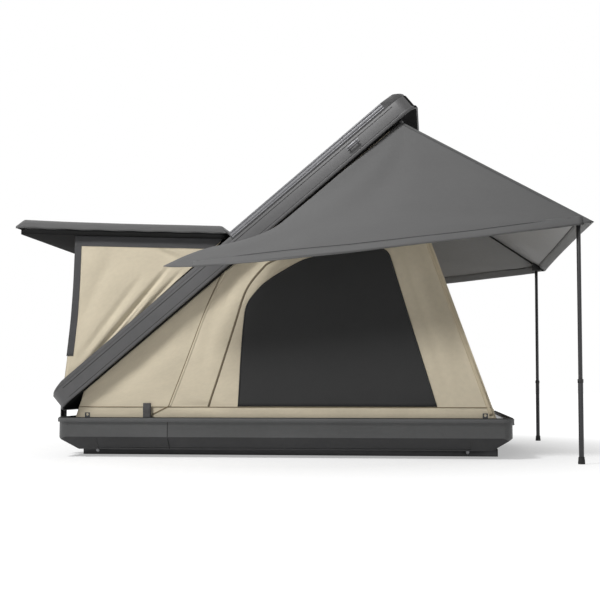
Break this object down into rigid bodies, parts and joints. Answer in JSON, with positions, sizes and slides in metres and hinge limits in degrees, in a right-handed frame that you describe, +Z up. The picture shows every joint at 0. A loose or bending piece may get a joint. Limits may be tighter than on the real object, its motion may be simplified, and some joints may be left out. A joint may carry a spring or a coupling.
{
  "type": "roof top tent",
  "caption": "Hard-shell roof top tent, open: a wedge lid on gas struts, a rear hatch, canvas walls and an awning on telescopic poles, over a tray with slotted mounting rails.",
  "frame": {"origin": "middle of the tray, at the underside of the mounting rails", "axes": "X along the tray from the lid hinge to the awning, Y across the tent away from the viewer, Z up"},
  "size_m": [2.655, 1.8, 1.6942],
  "materials": {
    "shell": "satin",
    "dark_panel": "matte",
    "dark_alloy": "satin",
    "bright_alloy": "satin",
    "dark_steel": "satin",
    "bright_steel": "satin",
    "strut_chrome": "polished",
    "canvas": "matte",
    "awning_cloth": "matte",
    "window_cloth": "matte",
    "webbing": "matte",
    "foam": "matte",
    "board": "matte",
    "rubber": "matte",
    "black_plastic": "matte"
  },
  "bodies": {
    "base": {"base_tray": "shell", "base_rim_seal": "rubber", "floor_panel": "board", "mattress": "foam", "mount_rails": "dark_alloy", "rail_end_caps": "rubber", "rail_bolts": "bright_steel", "canopy_rail": "dark_alloy", "hinge_base_leaves": "dark_steel", "hinge_pins": "bright_steel", "strut_base_brackets": "dark_steel", "latch_bracket": "dark_steel", "latch_pin": "bright_steel", "tie_brackets": "bright_steel", "strap_tabs": "webbing", "side_wall_near": "canvas", "side_wall_far": "canvas", "front_wall": "canvas", "window_near": "window_cloth", "window_far": "window_cloth"},
    "lid": {"lid_frame": "shell", "lid_cap": "shell", "lid_cover": "shell", "lid_liner": "foam", "lid_canopy_rail": "dark_alloy", "accessory_rails": "bright_alloy", "hinge_lid_leaves": "dark_steel", "strut_lid_brackets": "dark_steel", "latch_keeper": "dark_steel", "side_cleats": "bright_steel", "hatch_hinge_blocks": "dark_steel", "hatch_hinge_pin": "bright_steel", "hatch_strut_lid_brackets": "dark_steel", "awning_rail": "dark_alloy", "awning_roof": "awning_cloth", "awning_wing_near": "awning_cloth", "awning_wing_far": "awning_cloth", "popup_side_near": "canvas", "popup_side_far": "canvas", "popup_rear_wall": "canvas"},
    "hatch": {"hatch_panel": "dark_panel", "hatch_cover": "awning_cloth", "hatch_hinge_leaf": "dark_steel", "hatch_strut_brackets": "dark_steel"},
    "lid_strut_cylinders": {"strut_cylinders": "dark_steel"},
    "lid_strut_rods": {"strut_rods": "strut_chrome"},
    "hatch_strut_cylinders": {"hatch_strut_cylinders": "dark_steel"},
    "hatch_strut_rods": {"hatch_strut_rods": "strut_chrome"},
    "near_pole_base": {"near_pole_lower": "dark_alloy", "near_pole_clamp": "black_plastic", "near_pole_foot": "rubber"},
    "near_pole_top": {"near_pole_upper": "dark_alloy", "near_pole_head": "black_plastic"},
    "far_pole_base": {"far_pole_lower": "dark_alloy", "far_pole_clamp": "black_plastic", "far_pole_foot": "rubber"},
    "far_pole_top": {"far_pole_upper": "dark_alloy", "far_pole_head": "black_plastic"},
    "latch_lever": {"latch_lever": "dark_steel"}
  },
  "joints": [
    {"name": "lid_hinge", "type": "hinge", "parent": "base", "child": "lid", "pos_m": [-1.112, 0, 0.2673], "axis": [0, -1, 0], "range_deg": [-40, 0], "deforming": ["side_wall_near", "side_wall_far", "front_wall", "window_near", "window_far", "strap_tabs", "awning_roof", "awning_wing_near", "awning_wing_far"]},
    {"name": "hatch_hinge", "type": "hinge", "parent": "lid", "child": "hatch", "pos_m": [-0.24905, 0, 1.02795], "axis": [0, 1, 0], "range_deg": [-42, 0], "deforming": ["popup_side_near", "popup_side_far", "popup_rear_wall"]},
    {"name": "lid_strut_swing", "type": "hinge", "parent": "base", "child": "lid_strut_cylinders", "pos_m": [-0.612, 0, 0.1503], "axis": [0, -1, 0], "range_deg": [-60.6, 0]},
    {"name": "lid_strut_stroke", "type": "slide", "parent": "lid_strut_cylinders", "child": "lid_strut_rods", "axis": [0.3761, 0, 0.9266], "range_m": [-0.2768, 0]},
    {"name": "hatch_strut_swing", "type": "hinge", "parent": "lid", "child": "hatch_strut_cylinders", "pos_m": [-0.43788, 0, 0.83295], "axis": [0, 1, 0], "range_deg": [-66, 0]},
    {"name": "hatch_strut_stroke", "type": "slide", "parent": "hatch_strut_cylinders", "child": "hatch_strut_rods", "axis": [-0.8839, 0, 0.4677], "range_m": [-0.1302, 0]},
    {"name": "near_pole_lean", "type": "hinge", "parent": "base", "child": "near_pole_base", "pos_m": [1.333, -0.85, 0.015], "axis": [0, -1, 0], "range_deg": [-89, 0]},
    {"name": "near_pole_slide", "type": "slide", "parent": "near_pole_base", "child": "near_pole_top", "axis": [0, 0, 1], "range_m": [-0.195, 0]},
    {"name": "far_pole_lean", "type": "hinge", "parent": "base", "child": "far_pole_base", "pos_m": [1.333, 0.85, 0.015], "axis": [0, -1, 0], "range_deg": [-89, 0]},
    {"name": "far_pole_slide", "type": "slide", "parent": "far_pole_base", "child": "far_pole_top", "axis": [0, 0, 1], "range_m": [-0.195, 0]},
    {"name": "latch_swing", "type": "hinge", "parent": "base", "child": "latch_lever", "pos_m": [1.114, 0, 0.135], "axis": [0, 1, 0], "range_deg": [-220, 0]}
  ],
  "couplings": [
    {"joint": "lid_strut_swing", "follows": "lid_hinge", "ratio": 1.5137},
    {"joint": "lid_strut_stroke", "follows": "lid_hinge", "m_per_rad": 0.39628},
    {"joint": "hatch_strut_swing", "follows": "hatch_hinge", "ratio": 1.5693},
    {"joint": "hatch_strut_stroke", "follows": "hatch_hinge", "m_per_rad": 0.17745}
  ]
}
